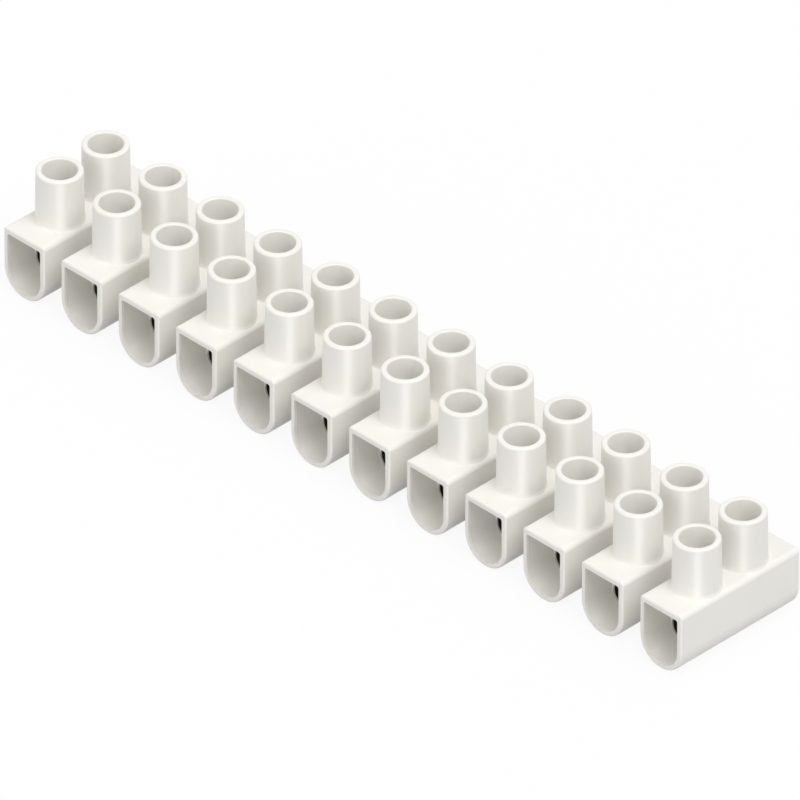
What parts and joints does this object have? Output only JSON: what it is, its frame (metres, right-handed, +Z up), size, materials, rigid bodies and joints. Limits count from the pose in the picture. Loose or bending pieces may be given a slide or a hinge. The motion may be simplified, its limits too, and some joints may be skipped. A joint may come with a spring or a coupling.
{
  "type": "terminal strip",
  "caption": "White moulded row of U-section screw terminals: each way holds a metal sleeve for two wire ends, clamped by slotted screws down two hollow towers.",
  "frame": {"origin": "under the middle of the strip, at the level of the surface it stands on", "axes": "+X along the row of ways, +Y along the wires from front to rear, +Z up along the screws"},
  "size_m": [0.1172, 0.0206, 0.0164],
  "materials": {
    "housing": "satin moulded polyamide, natural white",
    "contact_sleeve": "turned brass with a thin nickel plating",
    "screw": "zinc plated steel"
  },
  "bodies": {
    "strip": {"housing": "housing", "contact_sleeve_01": "contact_sleeve", "contact_sleeve_02": "contact_sleeve", "contact_sleeve_03": "contact_sleeve", "contact_sleeve_04": "contact_sleeve", "contact_sleeve_05": "contact_sleeve", "contact_sleeve_06": "contact_sleeve", "contact_sleeve_07": "contact_sleeve", "contact_sleeve_08": "contact_sleeve", "contact_sleeve_09": "contact_sleeve", "contact_sleeve_10": "contact_sleeve", "contact_sleeve_11": "contact_sleeve", "contact_sleeve_12": "contact_sleeve"},
    "screw_01_front": {"screw_01_front": "screw"},
    "screw_01_rear": {"screw_01_rear": "screw"},
    "screw_02_front": {"screw_02_front": "screw"},
    "screw_02_rear": {"screw_02_rear": "screw"},
    "screw_03_front": {"screw_03_front": "screw"},
    "screw_03_rear": {"screw_03_rear": "screw"},
    "screw_04_front": {"screw_04_front": "screw"},
    "screw_04_rear": {"screw_04_rear": "screw"},
    "screw_05_front": {"screw_05_front": "screw"},
    "screw_05_rear": {"screw_05_rear": "screw"},
    "screw_06_front": {"screw_06_front": "screw"},
    "screw_06_rear": {"screw_06_rear": "screw"},
    "screw_07_front": {"screw_07_front": "screw"},
    "screw_07_rear": {"screw_07_rear": "screw"},
    "screw_08_front": {"screw_08_front": "screw"},
    "screw_08_rear": {"screw_08_rear": "screw"},
    "screw_09_front": {"screw_09_front": "screw"},
    "screw_09_rear": {"screw_09_rear": "screw"},
    "screw_10_front": {"screw_10_front": "screw"},
    "screw_10_rear": {"screw_10_rear": "screw"},
    "screw_11_front": {"screw_11_front": "screw"},
    "screw_11_rear": {"screw_11_rear": "screw"},
    "screw_12_front": {"screw_12_front": "screw"},
    "screw_12_rear": {"screw_12_rear": "screw"}
  },
  "joints": [
    {"name": "screw_01_front_travel", "type": "slide", "parent": "strip", "child": "screw_01_front", "axis": [0, 0, -1], "range_m": [0, 0.0029]},
    {"name": "screw_01_rear_travel", "type": "slide", "parent": "strip", "child": "screw_01_rear", "axis": [0, 0, -1], "range_m": [0, 0.0029]},
    {"name": "screw_02_front_travel", "type": "slide", "parent": "strip", "child": "screw_02_front", "axis": [0, 0, -1], "range_m": [0, 0.0029]},
    {"name": "screw_02_rear_travel", "type": "slide", "parent": "strip", "child": "screw_02_rear", "axis": [0, 0, -1], "range_m": [0, 0.0029]},
    {"name": "screw_03_front_travel", "type": "slide", "parent": "strip", "child": "screw_03_front", "axis": [0, 0, -1], "range_m": [0, 0.0029]},
    {"name": "screw_03_rear_travel", "type": "slide", "parent": "strip", "child": "screw_03_rear", "axis": [0, 0, -1], "range_m": [0, 0.0029]},
    {"name": "screw_04_front_travel", "type": "slide", "parent": "strip", "child": "screw_04_front", "axis": [0, 0, -1], "range_m": [0, 0.0029]},
    {"name": "screw_04_rear_travel", "type": "slide", "parent": "strip", "child": "screw_04_rear", "axis": [0, 0, -1], "range_m": [0, 0.0029]},
    {"name": "screw_05_front_travel", "type": "slide", "parent": "strip", "child": "screw_05_front", "axis": [0, 0, -1], "range_m": [0, 0.0029]},
    {"name": "screw_05_rear_travel", "type": "slide", "parent": "strip", "child": "screw_05_rear", "axis": [0, 0, -1], "range_m": [0, 0.0029]},
    {"name": "screw_06_front_travel", "type": "slide", "parent": "strip", "child": "screw_06_front", "axis": [0, 0, -1], "range_m": [0, 0.0029]},
    {"name": "screw_06_rear_travel", "type": "slide", "parent": "strip", "child": "screw_06_rear", "axis": [0, 0, -1], "range_m": [0, 0.0029]},
    {"name": "screw_07_front_travel", "type": "slide", "parent": "strip", "child": "screw_07_front", "axis": [0, 0, -1], "range_m": [0, 0.0029]},
    {"name": "screw_07_rear_travel", "type": "slide", "parent": "strip", "child": "screw_07_rear", "axis": [0, 0, -1], "range_m": [0, 0.0029]},
    {"name": "screw_08_front_travel", "type": "slide", "parent": "strip", "child": "screw_08_front", "axis": [0, 0, -1], "range_m": [0, 0.0029]},
    {"name": "screw_08_rear_travel", "type": "slide", "parent": "strip", "child": "screw_08_rear", "axis": [0, 0, -1], "range_m": [0, 0.0029]},
    {"name": "screw_09_front_travel", "type": "slide", "parent": "strip", "child": "screw_09_front", "axis": [0, 0, -1], "range_m": [0, 0.0029]},
    {"name": "screw_09_rear_travel", "type": "slide", "parent": "strip", "child": "screw_09_rear", "axis": [0, 0, -1], "range_m": [0, 0.0029]},
    {"name": "screw_10_front_travel", "type": "slide", "parent": "strip", "child": "screw_10_front", "axis": [0, 0, -1], "range_m": [0, 0.0029]},
    {"name": "screw_10_rear_travel", "type": "slide", "parent": "strip", "child": "screw_10_rear", "axis": [0, 0, -1], "range_m": [0, 0.0029]},
    {"name": "screw_11_front_travel", "type": "slide", "parent": "strip", "child": "screw_11_front", "axis": [0, 0, -1], "range_m": [0, 0.0029]},
    {"name": "screw_11_rear_travel", "type": "slide", "parent": "strip", "child": "screw_11_rear", "axis": [0, 0, -1], "range_m": [0, 0.0029]},
    {"name": "screw_12_front_travel", "type": "slide", "parent": "strip", "child": "screw_12_front", "axis": [0, 0, -1], "range_m": [0, 0.0029]},
    {"name": "screw_12_rear_travel", "type": "slide", "parent": "strip", "child": "screw_12_rear", "axis": [0, 0, -1], "range_m": [0, 0.0029]}
  ]
}
